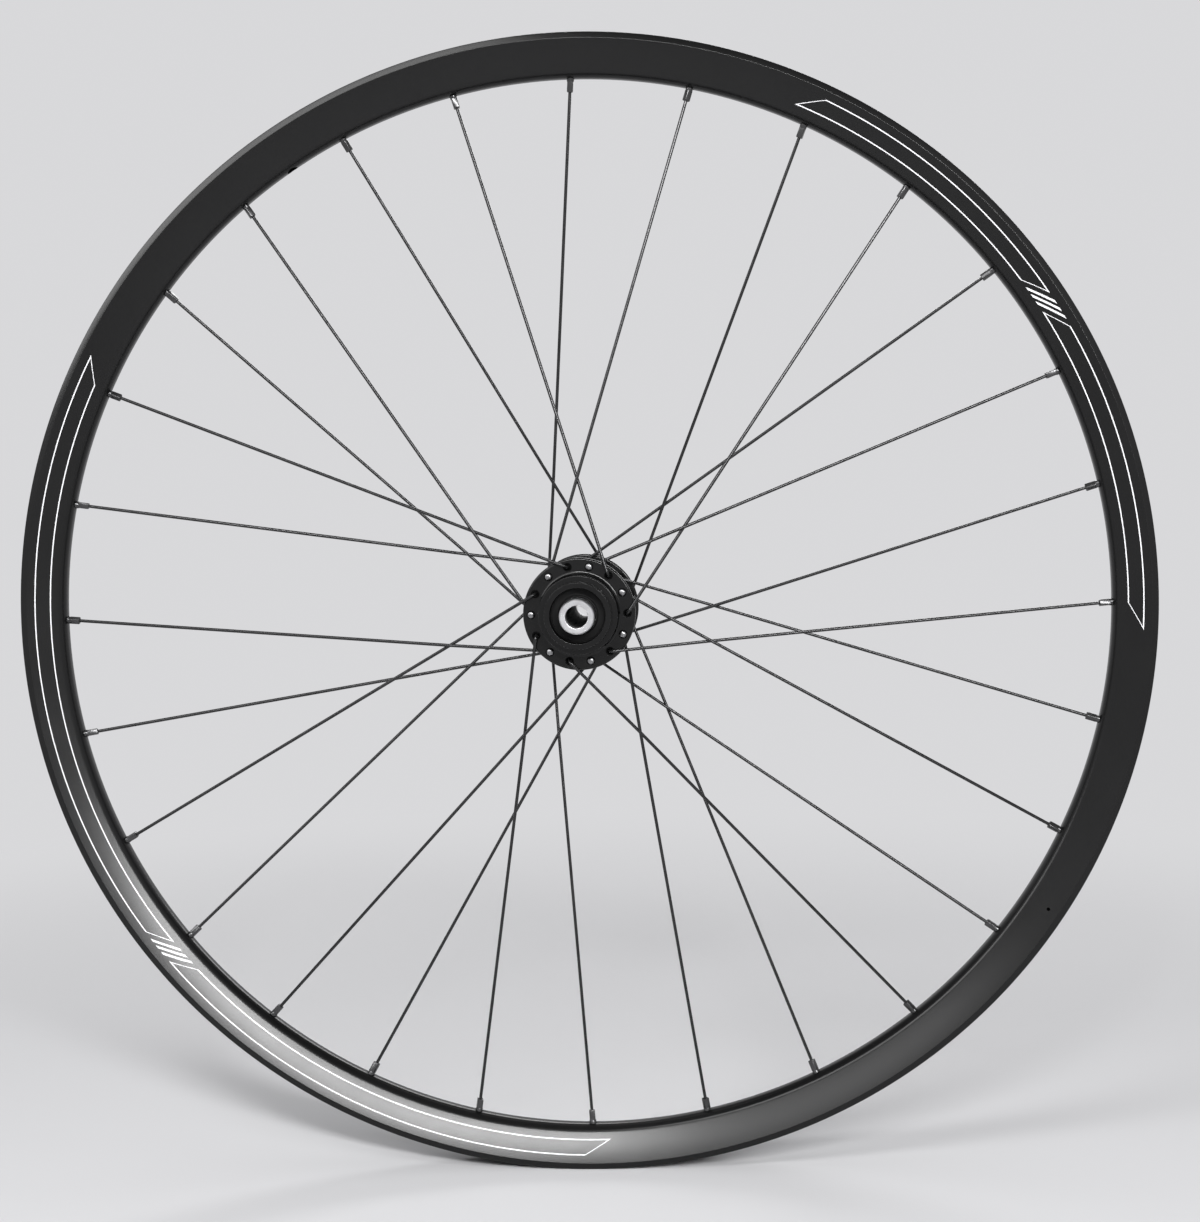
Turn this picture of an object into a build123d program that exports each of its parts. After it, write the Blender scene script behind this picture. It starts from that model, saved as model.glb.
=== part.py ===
from build123d import *
import os
from math import cos, radians, sin, tan

# Front bicycle wheel for a disc brake, without its tyre, brake disc or through axle, in millimetres.
# The origin is the wheel's centre. +Y runs along the axle away from the brake side, and +Z is up.
# Angles round the wheel are in degrees from +Z towards +X. The brake side is the left side.

# Lacing
SPOKE_COUNT = 28
CROSSINGS = 2

# Rim section
BEAD_SEAT_DIAMETER = 622.0
LIP_HEIGHT = 6.0
LIP_TOP_WIDTH = 1.2
BEVEL_HEIGHT = 3.6
RIM_DEPTH = 22.4
RIM_WIDTH = 29.5
TYRE_CHANNEL_WIDTH = 25.0
SIDEWALL_ANGLE = 27.7
NOSE_SHOULDER = 3.0
NOSE_BAND_WIDTH = 7.6
BEAD_SHELF_WIDTH = 4.5
WELL_DEPTH = 3.6
WELL_WIDTH = 11.0
BED_WALL = 1.1
SIDE_WALL = 1.2
FLOOR_WALL = 2.0

# Holes in the rim
SPOKE_HOLE_DIAMETER = 4.6
ACCESS_HOLE_DIAMETER = 8.6
VALVE_HOLE_DIAMETER = 6.5
VALVE_GAP = 25.5
DRAIN_HOLE_DIAMETER = 1.9
DRAIN_ANGLE = 123.5

# Spokes and nipples
SPOKE_DIAMETER = 1.8
SPOKE_HEAD_DIAMETER = 3.9
SPOKE_HEAD_HEIGHT = 1.2
SPOKE_HEAD_TAPER = 22.0
ELBOW_STANDOFF = 1.6
CROSSING_GAP = 0.1
SEAT_GAP = 0.05
NIPPLE_DIAMETER = 4.0
NIPPLE_SHOWING = 7.1
NIPPLE_COLLAR_LENGTH = 1.4
NIPPLE_SQUARE = 3.3
NIPPLE_HEAD_DIAMETER = 6.0
NIPPLE_HEAD_HEIGHT = 2.6
NIPPLE_SEAT_GAP = 0.45
SPOKE_END_RECESS = 0.8
THREAD_CLEARANCE = 0.05

# Hub shell, with its insets measured from the fork's face on the same side
HUB_WIDTH = 100.0
LEFT_FLANGE_INSET = 25.0
RIGHT_FLANGE_INSET = 19.0
FLANGE_DIAMETER = 62.0
FLANGE_THICKNESS = 3.2
SPOKE_CIRCLE_DIAMETER = 53.0
FLANGE_HOLE_DIAMETER = 2.5
BARREL_DIAMETER = 33.0
SHOULDER_DIAMETER = 43.2
SHOULDER_FILLET = 2.0
ROTOR_SEAT_INSET = 13.0
SPLINE_DIAMETER = 37.8
SPLINE_LENGTH = 5.5
LOCKRING_BORE_DIAMETER = 30.4
LOCKRING_BORE_DEPTH = 8.5
RIGHT_BOSS_DIAMETER = 35.0
HUB_INSIDE_DIAMETER = 24.4

# Bearings
BEARING_OUTER_DIAMETER = 28.0
BEARING_BORE = 15.0
BEARING_WIDTH = 7.0
RACE_SHARE = 0.28
BALL_GAP = 0.3
BALL_RING_WIDTH = 4.0
LEFT_BEARING_INSET = 23.5
RIGHT_BEARING_INSET = 16.8

# Axle, end caps and dust seals
THROUGH_BORE = 12.1
AXLE_INSIDE_DIAMETER = 12.4
AXLE_SHOULDER_DIAMETER = 17.6
AXLE_END_RECESS = 7.0
CAP_DIAMETER = 19.0
CAP_CHAMFER = 0.5
CAP_SLIP_CLEARANCE = 0.03
CAP_END_GAP = 0.1
DUST_SEAL_THICKNESS = 1.4
DUST_SEAL_GAP = 0.3
DUST_SEAL_RECESS = 0.6

# Small pieces that repeat, and the rings inside the hub, have few flat sides
SMALL_SIDES = 6
RING_SIDES = 16

# Worked out from the sizes above
HOLE_PITCH = 360 / SPOKE_COUNT
FLANGE_PITCH = 2 * HOLE_PITCH
LACING_TURN = CROSSINGS * FLANGE_PITCH
BEAD_R = BEAD_SEAT_DIAMETER / 2
RIM_R = BEAD_R + LIP_HEIGHT
NOSE_R = RIM_R - RIM_DEPTH
RIDGE_R = RIM_R - BEVEL_HEIGHT
WELL_R = BEAD_R - WELL_DEPTH
FLOOR_R = NOSE_R + FLOOR_WALL
AIM_R = NOSE_R + FLOOR_WALL / 2
SPOKE_CIRCLE_R = SPOKE_CIRCLE_DIAMETER / 2
HUB_END = HUB_WIDTH / 2
LEFT_FLANGE_OFFSET = HUB_END - LEFT_FLANGE_INSET
RIGHT_FLANGE_OFFSET = HUB_END - RIGHT_FLANGE_INSET
ROTOR_SEAT_OFFSET = HUB_END - ROTOR_SEAT_INSET
LEFT_BEARING_OFFSET = HUB_END - LEFT_BEARING_INSET
RIGHT_BEARING_OFFSET = HUB_END - RIGHT_BEARING_INSET
RACE_WALL = RACE_SHARE * (BEARING_OUTER_DIAMETER - BEARING_BORE) / 2
LEFT_BOSS_END = ROTOR_SEAT_OFFSET + SPLINE_LENGTH
RIGHT_SEAL_OFFSET = RIGHT_BEARING_OFFSET + BEARING_WIDTH
RIGHT_BOSS_END = RIGHT_SEAL_OFFSET + DUST_SEAL_THICKNESS + DUST_SEAL_RECESS
LEFT_SEAL_OFFSET = LEFT_BOSS_END - LOCKRING_BORE_DEPTH


def on_wheel(radius, angle, y=0.0):
    """Point at a radius and an angle round the axle."""
    return Vector(radius * sin(radians(angle)), y, radius * cos(radians(angle)))


def outward(angle):
    """Plane through the wheel's centre that faces outwards at an angle round the wheel."""
    return Plane(origin=(0, 0, 0), x_dir=(0, 1, 0), z_dir=tuple(on_wheel(1, angle)))


def turned(points):
    """Solid of revolution about the axle from a closed outline of (radius, y) points."""
    outline = make_face(Polyline(*points, close=True))
    return revolve(outline, Axis.Y)


def drill(diameter, angle, start_r, end_r):
    """Few-sided radial cutter whose flats lie on the drilled diameter."""
    hole = RegularPolygon(diameter / 2, SMALL_SIDES, major_radius=False)
    plane = outward(angle).offset(start_r)
    return extrude(plane * hole, end_r - start_r)


def round_drill(diameter, angle, start_r, end_r):
    """Round radial cutter."""
    plane = outward(angle).offset(start_r)
    return extrude(plane * Circle(diameter / 2), end_r - start_r)


def ring(outer_diameter, bore, low_y, high_y):
    """Plain ring about the axle with a few-sided outline inside its round envelope."""
    outer = RegularPolygon(outer_diameter / 2, RING_SIDES)
    inner = RegularPolygon(bore / 2, RING_SIDES, major_radius=False)
    plane = Plane(origin=(0, low_y, 0), x_dir=(1, 0, 0), z_dir=(0, 1, 0))
    return extrude(plane * (outer - inner), high_y - low_y)


# Rim
def skin_y(radius):
    """Half width over the sloped sidewalls at a radius."""
    return RIM_WIDTH / 2 - (RIDGE_R - radius) * tan(radians(SIDEWALL_ANGLE))


def chamber_y(radius):
    """Half width of the hollow at a radius, one sidewall thickness inside the skin."""
    return skin_y(radius) - SIDE_WALL / cos(radians(SIDEWALL_ANGLE))


def rim_section():
    """Double-wall section: two bead lips, a stepped tyre bed, sloped sides and a blunt nose."""
    foot_r = NOSE_R + NOSE_SHOULDER
    channel_y = TYRE_CHANNEL_WIDTH / 2
    half = [
        (NOSE_R, NOSE_BAND_WIDTH / 2),
        (foot_r, skin_y(foot_r)),
        (RIDGE_R, RIM_WIDTH / 2),
        (RIM_R, channel_y + LIP_TOP_WIDTH),
        (RIM_R, channel_y),
        (BEAD_R, channel_y),
        (BEAD_R, channel_y - BEAD_SHELF_WIDTH),
        (WELL_R, WELL_WIDTH / 2),
    ]
    corner_r = BEAD_R - BED_WALL
    hollow = [
        (FLOOR_R, chamber_y(FLOOR_R)),
        (corner_r, chamber_y(corner_r)),
        (WELL_R - BED_WALL, WELL_WIDTH / 2),
    ]
    return mirrored_face(half) - mirrored_face(hollow)


def mirrored_face(half):
    """Flat face from the (radius, y) points of its right half."""
    other_half = [(r, -y) for r, y in reversed(half)]
    return make_face(Polyline(*half, *other_half, close=True))


def drain_hole():
    """Cutter for the small hole through the left sidewall into the hollow."""
    radius = BEAD_R - BED_WALL - DRAIN_HOLE_DIAMETER
    depth = RIM_WIDTH / 2 - chamber_y(radius) + SIDE_WALL / 2
    plane = Plane(origin=tuple(on_wheel(radius, DRAIN_ANGLE, -RIM_WIDTH / 2)), z_dir=(0, 1, 0))
    hole = RegularPolygon(DRAIN_HOLE_DIAMETER / 2, SMALL_SIDES)
    return extrude(plane * hole, depth)


def rim():
    """Hollow hoop with spoke holes, access holes above them, a valve hole and a drain hole."""
    hoop = revolve(rim_section(), Axis.Y).rotate(Axis.Y, HOLE_PITCH / 2)
    middle_r = (FLOOR_R + WELL_R - BED_WALL) / 2
    cuts = []
    for index in range(SPOKE_COUNT):
        angle = index * HOLE_PITCH
        cuts.append(drill(SPOKE_HOLE_DIAMETER, angle, NOSE_R - FLOOR_WALL, middle_r))
        cuts.append(drill(ACCESS_HOLE_DIAMETER, angle, middle_r, RIM_R))
    cuts.append(round_drill(VALVE_HOLE_DIAMETER, VALVE_GAP * HOLE_PITCH, NOSE_R - FLOOR_WALL, RIM_R))
    cuts.append(drain_hole())
    return hoop - cuts


# Spokes and nipples
def crossing_point(flange_y):
    """Radius and y, as a share of the flange's y, where the last pair of spokes cross."""
    along = LACING_TURN - HOLE_PITCH
    area = SPOKE_CIRCLE_R * AIM_R * sin(radians(LACING_TURN))
    radius = area / (SPOKE_CIRCLE_R * sin(radians(along)) + AIM_R * sin(radians(HOLE_PITCH)))
    hole = on_wheel(SPOKE_CIRCLE_R, LACING_TURN)
    whole = (on_wheel(AIM_R, 0) - hole).length
    part = (on_wheel(radius, HOLE_PITCH) - hole).length
    return radius, flange_y * (1 - part / whole)


def spoke_route(index):
    """Head, elbow, crossing and rim hole of one spoke.

    Spokes alternate between the flanges. In each flange they alternate between those that lie
    outside the flange and lean one way, and those that lie inside it and lean the other way.
    An outside spoke passes under the inside spoke that it crosses last.
    """
    side = -1 if index % 2 else 1
    flange_y = LEFT_FLANGE_OFFSET if index % 2 else RIGHT_FLANGE_OFFSET
    outside = index % 4 in (2, 3)
    lean = 1 if outside else -1
    rim_angle = index * HOLE_PITCH
    hub_angle = rim_angle + lean * LACING_TURN
    half_flange = FLANGE_THICKNESS / 2
    elbow = half_flange + ELBOW_STANDOFF + SPOKE_DIAMETER / 2
    cross_r, cross_y = crossing_point(flange_y)
    weave = (SPOKE_DIAMETER + CROSSING_GAP) / 2
    return [
        on_wheel(SPOKE_CIRCLE_R, hub_angle, side * (flange_y - lean * (half_flange + SEAT_GAP))),
        on_wheel(SPOKE_CIRCLE_R, hub_angle, side * (flange_y + lean * elbow)),
        on_wheel(cross_r, rim_angle + lean * HOLE_PITCH, side * (cross_y - lean * weave)),
        on_wheel(AIM_R, rim_angle),
    ]


def nipple_plane(index):
    """Plane across a nipple at the middle of the rim's floor, facing out of the wheel."""
    crossing, hole = spoke_route(index)[2:]
    return Plane(origin=tuple(hole), z_dir=tuple(hole - crossing))


def nipple_levels():
    """Heights along a nipple from the middle of the rim's floor: top, seat, collar end and tip."""
    seat = FLOOR_WALL / 2 + NIPPLE_SEAT_GAP
    collar_end = -FLOOR_WALL / 2 - NIPPLE_COLLAR_LENGTH
    tip = -FLOOR_WALL / 2 - NIPPLE_SHOWING
    return seat + NIPPLE_HEAD_HEIGHT, seat, collar_end, tip


def prism(plane, low, high, section):
    """Straight solid of a flat section between two heights above a plane."""
    return extrude(plane.offset(low) * section, high - low)


def spoke(index):
    """Round wire with a flat-topped head, an elbow at the flange and a slight bend where it crosses."""
    head, elbow, crossing = spoke_route(index)[:3]
    nut = nipple_plane(index)
    end = nut.origin + nut.z_dir * (nipple_levels()[0] - SPOKE_END_RECESS)
    section = RegularPolygon(SPOKE_DIAMETER / 2, SMALL_SIDES)
    start = Plane(origin=tuple(head), z_dir=tuple(elbow - head))
    wire = sweep(start * section, Polyline(head, elbow, crossing, end), transition=Transition.RIGHT)
    button = RegularPolygon(SPOKE_HEAD_DIAMETER / 2, SMALL_SIDES)
    back = Plane(origin=tuple(head), z_dir=tuple(head - elbow))
    return wire + extrude(back * button, SPOKE_HEAD_HEIGHT, taper=SPOKE_HEAD_TAPER)


def nipple(index):
    """Threaded nut of one spoke: head inside the rim, round collar in its hole and square end."""
    plane = nipple_plane(index)
    top, seat, collar_end, tip = nipple_levels()
    body = prism(plane, seat, top, RegularPolygon(NIPPLE_HEAD_DIAMETER / 2, SMALL_SIDES))
    body += prism(plane, collar_end, seat, RegularPolygon(NIPPLE_DIAMETER / 2, SMALL_SIDES))
    body += prism(plane, tip, collar_end, Rectangle(NIPPLE_SQUARE, NIPPLE_SQUARE))
    thread = RegularPolygon(SPOKE_DIAMETER / 2 + THREAD_CLEARANCE, SMALL_SIDES, major_radius=False)
    return body - prism(plane, tip, top - SPOKE_END_RECESS + THREAD_CLEARANCE, thread)


# Hub
def hub_body():
    """Shell turned about the axle, with bearing seats, the brake-disc boss and two flanges."""
    half = FLANGE_THICKNESS / 2
    left_face = -LEFT_FLANGE_OFFSET - half
    left_root = -LEFT_FLANGE_OFFSET + half
    right_root = RIGHT_FLANGE_OFFSET - half
    right_face = RIGHT_FLANGE_OFFSET + half
    seat_r = BEARING_OUTER_DIAMETER / 2
    inside_r = HUB_INSIDE_DIAMETER / 2
    lockring_r = LOCKRING_BORE_DIAMETER / 2
    shoulder_r = SHOULDER_DIAMETER / 2
    boss_r = RIGHT_BOSS_DIAMETER / 2
    flange_r = FLANGE_DIAMETER / 2
    barrel_r = BARREL_DIAMETER / 2
    return turned(
        [
            (lockring_r, -LEFT_BOSS_END),
            (SPLINE_DIAMETER / 2, -LEFT_BOSS_END),
            (SPLINE_DIAMETER / 2, -ROTOR_SEAT_OFFSET),
            (shoulder_r, -ROTOR_SEAT_OFFSET),
            (shoulder_r, left_face - SHOULDER_FILLET),
            (shoulder_r + SHOULDER_FILLET, left_face),
            (flange_r, left_face),
            (flange_r, left_root),
            (barrel_r, left_root),
            (barrel_r, right_root),
            (flange_r, right_root),
            (flange_r, right_face),
            (boss_r, right_face),
            (boss_r, RIGHT_BOSS_END),
            (seat_r, RIGHT_BOSS_END),
            (seat_r, RIGHT_BEARING_OFFSET),
            (inside_r, RIGHT_BEARING_OFFSET),
            (inside_r, -LEFT_BEARING_OFFSET),
            (seat_r, -LEFT_BEARING_OFFSET),
            (seat_r, -LEFT_SEAL_OFFSET),
            (lockring_r, -LEFT_SEAL_OFFSET),
        ]
    )


def hub_shell():
    """Hub body with a ring of spoke holes through each flange."""
    cuts = []
    for index in range(SPOKE_COUNT):
        head, elbow = spoke_route(index)[:2]
        hole = RegularPolygon(FLANGE_HOLE_DIAMETER / 2, SMALL_SIDES, major_radius=False)
        middle = Plane(origin=tuple((head + elbow) / 2), z_dir=(0, 1, 0))
        cuts.append(extrude(middle * hole, FLANGE_THICKNESS, both=True))
    return hub_body() - cuts


# Axle and bearings
def axle_tube():
    """Hollow axle with a thicker middle that keeps the bearings apart."""
    end = HUB_END - AXLE_END_RECESS
    tube = ring(BEARING_BORE, AXLE_INSIDE_DIAMETER, -end, end)
    middle = ring(AXLE_SHOULDER_DIAMETER, AXLE_INSIDE_DIAMETER, -LEFT_BEARING_OFFSET, RIGHT_BEARING_OFFSET)
    return tube + middle


def end_cap(side, bearing_offset):
    """Sleeve that slips over one end of the axle tube and bears on the fork."""
    race_y = bearing_offset + BEARING_WIDTH
    step_y = HUB_END - AXLE_END_RECESS + CAP_END_GAP
    slip_r = BEARING_BORE / 2 + CAP_SLIP_CLEARANCE
    outline = [
        (THROUGH_BORE / 2, HUB_END),
        (CAP_DIAMETER / 2 - CAP_CHAMFER, HUB_END),
        (CAP_DIAMETER / 2, HUB_END - CAP_CHAMFER),
        (CAP_DIAMETER / 2, race_y),
        (slip_r, race_y),
        (slip_r, step_y),
        (THROUGH_BORE / 2, step_y),
    ]
    return turned([(r, side * y) for r, y in outline])


def bearing(side, offset):
    """Inner race, ball ring and outer race of one cartridge bearing."""
    near = side * offset
    far = side * (offset + BEARING_WIDTH)
    low, high = min(near, far), max(near, far)
    middle = (low + high) / 2
    inner_race = BEARING_BORE + 2 * RACE_WALL
    outer_bore = BEARING_OUTER_DIAMETER - 2 * RACE_WALL
    return {
        "bearing_inner_race": ring(inner_race, BEARING_BORE, low, high),
        "bearing_ball_ring": ring(
            outer_bore - 2 * BALL_GAP,
            inner_race + 2 * BALL_GAP,
            middle - BALL_RING_WIDTH / 2,
            middle + BALL_RING_WIDTH / 2,
        ),
        "bearing_outer_race": ring(BEARING_OUTER_DIAMETER, outer_bore, low, high),
    }


def dust_seal(side, offset, seat_diameter):
    """Ring pressed into the hub shell that closes the gap round an end cap."""
    near = side * offset
    far = side * (offset + DUST_SEAL_THICKNESS)
    return ring(seat_diameter, CAP_DIAMETER + 2 * DUST_SEAL_GAP, min(near, far), max(near, far))


def wheel():
    """Every piece of the wheel by its name."""
    pieces = {
        "rim": rim(),
        "spoke_nipples": Compound(children=[nipple(index) for index in range(SPOKE_COUNT)]),
        "hub_shell": hub_shell(),
        "axle_tube": axle_tube(),
        "left_dust_seal": dust_seal(-1, LEFT_SEAL_OFFSET, LOCKRING_BORE_DIAMETER),
        "right_dust_seal": dust_seal(1, RIGHT_SEAL_OFFSET, BEARING_OUTER_DIAMETER),
    }
    for index in range(SPOKE_COUNT):
        pieces[f"spoke_{index + 1:02d}"] = spoke(index)
    for name, side, offset in (("left", -1, LEFT_BEARING_OFFSET), ("right", 1, RIGHT_BEARING_OFFSET)):
        pieces[f"{name}_end_cap"] = end_cap(side, offset)
        for piece_name, piece in bearing(side, offset).items():
            pieces[f"{name}_{piece_name}"] = piece
    return pieces


os.makedirs("parts", exist_ok=True)
for node, shape in wheel().items():
    export_step(shape, f"parts/{node}.step")
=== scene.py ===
import logging
from dataclasses import dataclass
from enum import Enum
from math import atan2, ceil, cos, degrees, hypot, pi, radians, sin, tan
from typing import Any, Callable, Sequence

import bmesh
import bpy
from mathutils import Matrix, Quaternion, Vector


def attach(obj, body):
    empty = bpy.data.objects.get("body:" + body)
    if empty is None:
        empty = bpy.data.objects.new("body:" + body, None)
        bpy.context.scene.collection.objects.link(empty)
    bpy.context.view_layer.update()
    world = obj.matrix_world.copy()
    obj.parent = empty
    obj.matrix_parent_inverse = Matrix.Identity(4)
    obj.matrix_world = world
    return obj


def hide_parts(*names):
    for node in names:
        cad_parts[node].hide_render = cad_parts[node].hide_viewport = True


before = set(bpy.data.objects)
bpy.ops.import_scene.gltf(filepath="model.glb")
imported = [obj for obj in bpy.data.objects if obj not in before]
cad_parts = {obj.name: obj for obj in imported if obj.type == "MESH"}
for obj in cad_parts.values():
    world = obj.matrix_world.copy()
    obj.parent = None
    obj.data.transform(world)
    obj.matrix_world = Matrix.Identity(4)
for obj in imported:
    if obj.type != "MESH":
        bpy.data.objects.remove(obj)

LOG = logging.getLogger("bicycle_wheel")
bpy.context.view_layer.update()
MM = 0.001
PER_METRE = 1000.0
MERGE = 2e-6
SLIVER = 5e-6

Point = tuple[float, float]
Corner = tuple[float, float, float]
Ring = tuple[float, float]


@dataclass(frozen=True)
class SharedSizes:
    """Sizes that more than one sub-assembly needs, in millimetres and degrees."""

    spoke_count: int = 28
    lip_radius: float = 317.0
    ridge_radius: float = 313.4
    nose_radius: float = 294.6
    half_width: float = 14.75
    slope: float = 27.7
    floor_wall: float = 2.0
    left_flange: float = 25.0
    right_flange: float = 31.0
    flange_thickness: float = 3.2
    circle_radius: float = 26.5
    cap_radius: float = 9.5


SHARED = SharedSizes()


class Side(Enum):
    """Side of the wheel, as the sign of y. The brake is on the left."""

    LEFT = -1
    RIGHT = 1


class Lie(Enum):
    """Whether a spoke lies inside or outside its flange, as the way that it leans."""

    INSIDE = -1
    OUTSIDE = 1


def on_wheel(radius: float, angle: float, y: float = 0.0) -> Vector:
    """Gives a point round the axle.

    Args:
        radius: Distance from the axle, in millimetres.
        angle: Degrees from +Z towards +X.
        y: Place along the axle, in millimetres.

    Returns:
        The point, in millimetres.
    """
    return Vector((radius * sin(radians(angle)), y, radius * cos(radians(angle))))


def rounded(corners: Sequence[Corner], step: float = 14.0) -> list[Point]:
    """Rounds the corners of a closed outline.

    Args:
        corners: Radius, y and rounding of each corner, in millimetres.
        step: Largest turn between two points of a rounding, in degrees.

    Returns:
        The points of the rounded outline.
    """
    points: list[Point] = []
    for index, (radius, y, size) in enumerate(corners):
        here = Vector((radius, y))
        if size == 0:
            points.append((radius, y))
            continue
        before = (Vector(corners[index - 1][:2]) - here).normalized()
        after = (Vector(corners[(index + 1) % len(corners)][:2]) - here).normalized()
        half = before.angle(after) / 2
        centre = here + (before + after).normalized() * (size / sin(half))
        arm = here + before * (size / tan(half)) - centre
        turn = pi - 2 * half
        if before.x * after.y - before.y * after.x > 0:
            turn = -turn
        count = max(2, ceil(degrees(abs(turn)) / step))
        for share in range(count + 1):
            place = centre + Matrix.Rotation(turn * share / count, 2) @ arm
            points.append((place.x, place.y))
    return points


class Bench:
    """Modelling steps on one new object at a time. Sizes are in millimetres."""

    @staticmethod
    def clear() -> None:
        """Leaves edit mode and deselects everything."""
        if bpy.context.mode != "OBJECT":
            bpy.ops.object.mode_set(mode="OBJECT")
        bpy.ops.object.select_all(action="DESELECT")

    @staticmethod
    def edit(piece: bpy.types.Object) -> None:
        """Opens one object in edit mode with nothing selected.

        Args:
            piece: Object to open.
        """
        Bench.clear()
        piece.select_set(True)
        bpy.context.view_layer.objects.active = piece
        bpy.ops.object.mode_set(mode="EDIT")
        bpy.ops.mesh.select_mode(type="VERT")
        bpy.ops.mesh.select_all(action="DESELECT")

    @staticmethod
    def mend(piece: bpy.types.Object) -> None:
        """Merges doubles and turns the faces outwards.

        Args:
            piece: Piece to mend.
        """
        Bench.edit(piece)
        bpy.ops.mesh.select_all(action="SELECT")
        bpy.ops.mesh.remove_doubles(threshold=MERGE)
        bpy.ops.mesh.normals_make_consistent(inside=False)
        Bench.clear()

    @staticmethod
    def smooth(piece: bpy.types.Object, angle: float = 32.0) -> None:
        """Shades a piece smooth, apart from its sharp edges.

        Args:
            piece: Piece to shade.
            angle: Largest turn between two faces that is shaded smooth, in degrees.
        """
        Bench.clear()
        piece.select_set(True)
        bpy.context.view_layer.objects.active = piece
        bpy.ops.object.shade_smooth_by_angle(angle=radians(angle))

    @staticmethod
    def turned(name: str, points: Sequence[Point], steps: int) -> bpy.types.Object:
        """Draws a closed outline by extruding a vertex and spins it about the axle.

        Args:
            name: Name of the new piece.
            points: Radius and y of the outline's points.
            steps: Steps of the spin.

        Returns:
            The turned piece.
        """
        Bench.clear()
        bpy.ops.mesh.primitive_plane_add(size=MM)
        piece = bpy.context.active_object
        piece.name = name
        bpy.ops.object.mode_set(mode="EDIT")
        bpy.ops.mesh.select_mode(type="VERT")
        bpy.ops.mesh.select_all(action="SELECT")
        bpy.ops.mesh.merge(type="CENTER")
        bpy.ops.transform.translate(value=(points[0][0] * MM, points[0][1] * MM, 0))
        for start, end in zip(points, [*points[1:], points[0]]):
            step = ((end[0] - start[0]) * MM, (end[1] - start[1]) * MM, 0)
            bpy.ops.mesh.extrude_region_move(TRANSFORM_OT_translate={"value": step})
        bpy.ops.mesh.select_all(action="SELECT")
        bpy.ops.mesh.remove_doubles(threshold=MERGE)
        bpy.ops.mesh.spin(steps=steps, angle=2 * pi, center=(0, 0, 0), axis=(0, 1, 0))
        Bench.mend(piece)
        return piece

    @staticmethod
    def rod(
        name: str, start: Vector, along: Vector, rings: Sequence[Ring], sides: int
    ) -> bpy.types.Object:
        """Draws a round rod from a disc by extruding and scaling, and leaves its last ring selected.

        Args:
            name: Name of the new piece.
            start: Place of the first ring's height zero.
            along: Direction of the rod.
            rings: Height above start and radius of each ring.
            sides: Sides of the rod.

        Returns:
            The open piece, in edit mode.
        """
        along = along.normalized()
        turn = Vector((0, 0, 1)).rotation_difference(along).to_euler()
        height, radius = rings[0]
        place = start + along * height
        Bench.clear()
        bpy.ops.mesh.primitive_circle_add(
            vertices=sides, radius=radius * MM, fill_type="NGON", location=place * MM, rotation=turn
        )
        piece = bpy.context.active_object
        piece.name = name
        bpy.ops.object.transform_apply(location=True, rotation=True, scale=True)
        bpy.ops.object.mode_set(mode="EDIT")
        bpy.ops.mesh.select_mode(type="VERT")
        bpy.ops.mesh.select_all(action="SELECT")
        for next_height, next_radius in rings[1:]:
            Bench.push(along * (next_height - height))
            centre = (start + along * next_height) * MM
            grow = next_radius / radius
            bpy.ops.transform.resize(value=(grow, grow, grow), center_override=centre)
            height, radius = next_height, next_radius
        return piece

    @staticmethod
    def push(move: Vector) -> None:
        """Extrudes what is selected by a move."""
        bpy.ops.mesh.extrude_region_move(TRANSFORM_OT_translate={"value": move * MM})

    @staticmethod
    def elbow(before: Vector, after: Vector, place: Vector, radius: float, steps: int) -> None:
        """Bends the selected ring round from one direction to another.

        Args:
            before: Direction that the ring faces.
            after: Direction that it faces after the bend.
            place: Centre of the ring.
            radius: Radius of the bend.
            steps: Steps of the bend.
        """
        axis = before.cross(after).normalized()
        centre = place + axis.cross(before) * radius
        bpy.ops.mesh.spin(steps=steps, angle=-before.angle(after), center=centre * MM, axis=axis)

    @staticmethod
    def close(piece: bpy.types.Object) -> None:
        """Fills the selected end ring and finishes the mesh."""
        bpy.ops.mesh.edge_face_add()
        Bench.mend(piece)

    @staticmethod
    def pick(piece: bpy.types.Object, test: Callable[[Vector, Vector], bool]) -> None:
        """Opens a piece with some of its faces selected.

        Args:
            piece: Piece to open.
            test: Tells from a face's middle, in millimetres, and its normal whether to select it.
        """
        Bench.edit(piece)
        bpy.ops.mesh.select_mode(type="FACE")
        mesh = bmesh.from_edit_mesh(piece.data)
        for face in mesh.faces:
            face.select_set(test(face.calc_center_median() / MM, face.normal))
        bmesh.update_edit_mesh(piece.data)

    @staticmethod
    def copy(piece: bpy.types.Object, name: str, place: Matrix) -> bpy.types.Object:
        """Copies a piece with its own mesh.

        Args:
            piece: Piece to copy.
            name: Name of the copy.
            place: Move and turn of the copy, in metres.

        Returns:
            The copy, with its place in its mesh.
        """
        Bench.clear()
        piece.select_set(True)
        bpy.context.view_layer.objects.active = piece
        bpy.ops.object.duplicate(linked=False)
        twin = bpy.context.active_object
        twin.name = name
        twin.matrix_world = place
        bpy.ops.object.transform_apply(location=True, rotation=True, scale=True)
        return twin

    @staticmethod
    def around(piece: bpy.types.Object, angles: Sequence[float]) -> bpy.types.Object:
        """Copies a piece round the axle and joins the copies.

        Args:
            piece: Piece to copy, which is deleted.
            angles: Degrees that each copy is turned by.

        Returns:
            The joined copies, under the piece's name.
        """
        name = piece.name
        copies = [Bench.copy(piece, name, Matrix.Rotation(radians(angle), 4, "Y")) for angle in angles]
        Bench.drop(piece)
        return Bench.join(copies, name)

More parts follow.
